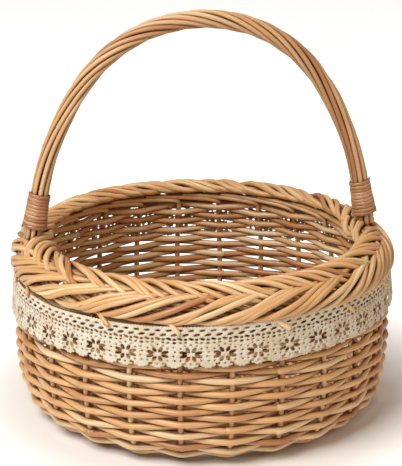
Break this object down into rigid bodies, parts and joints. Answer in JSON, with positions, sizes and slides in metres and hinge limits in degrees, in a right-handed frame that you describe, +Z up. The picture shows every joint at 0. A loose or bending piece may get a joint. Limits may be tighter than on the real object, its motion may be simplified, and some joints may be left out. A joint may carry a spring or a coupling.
{
  "type": "flower girl basket",
  "caption": "Round open willow basket with a bulging woven wall, a plaited rim, a fixed roped hoop handle and a lace band, for carrying petals or small flowers.",
  "frame": {"origin": "centre of the underside, on the surface that the basket stands on", "axes": "+Z up; the handle stands in the XZ plane, so X runs from foot to foot; Y runs front to back through the handle"},
  "size_m": [0.2826, 0.2826, 0.2891],
  "materials": {
    "siding_willow": "boiled and buffed willow rods, satin",
    "upright_willow": "boiled and buffed willow rods, satin",
    "base_willow": "boiled and buffed willow rods, satin",
    "border_willow": "boiled and buffed willow rods, satin",
    "handle_willow": "boiled and buffed willow rods, satin",
    "willow_skein": "split willow skein, glossy",
    "cotton_lace": "natural ivory crocheted cotton, matt"
  },
  "bodies": {
    "root": {"base_sticks_lower": "base_willow", "base_sticks_upper": "base_willow", "base_weave_inner": "base_willow", "base_weave_outer": "base_willow", "border_strand_a": "border_willow", "border_strand_b": "border_willow", "border_strand_c": "border_willow", "handle_binding_left": "willow_skein", "handle_binding_right": "willow_skein", "handle_bow": "handle_willow", "handle_rope_rod_1": "handle_willow", "handle_rope_rod_2": "handle_willow", "handle_rope_rod_3": "handle_willow", "handle_rope_rod_4": "handle_willow", "handle_rope_rod_5": "handle_willow", "handle_rope_rod_6": "handle_willow", "handle_rope_rod_7": "handle_willow", "handle_rope_rod_8": "handle_willow", "lace_band": "cotton_lace", "side_uprights": "upright_willow", "siding_course_01": "siding_willow", "siding_course_02": "siding_willow", "siding_course_03": "siding_willow", "siding_course_04": "siding_willow", "siding_course_05": "siding_willow", "siding_course_06": "siding_willow", "siding_course_07": "siding_willow", "siding_course_08": "siding_willow", "siding_course_09": "siding_willow", "siding_course_10": "siding_willow", "siding_course_11": "siding_willow", "siding_course_12": "siding_willow", "siding_course_13": "siding_willow", "siding_course_14": "siding_willow", "siding_course_15": "siding_willow", "siding_course_16": "siding_willow", "siding_course_17": "siding_willow", "siding_course_18": "siding_willow", "siding_course_19": "siding_willow", "siding_course_20": "siding_willow", "siding_course_21": "siding_willow", "siding_course_22": "siding_willow", "siding_course_23": "siding_willow", "siding_course_24": "siding_willow", "siding_course_25": "siding_willow", "siding_course_26": "siding_willow", "siding_course_27": "siding_willow"}
  },
  "joints": []
}
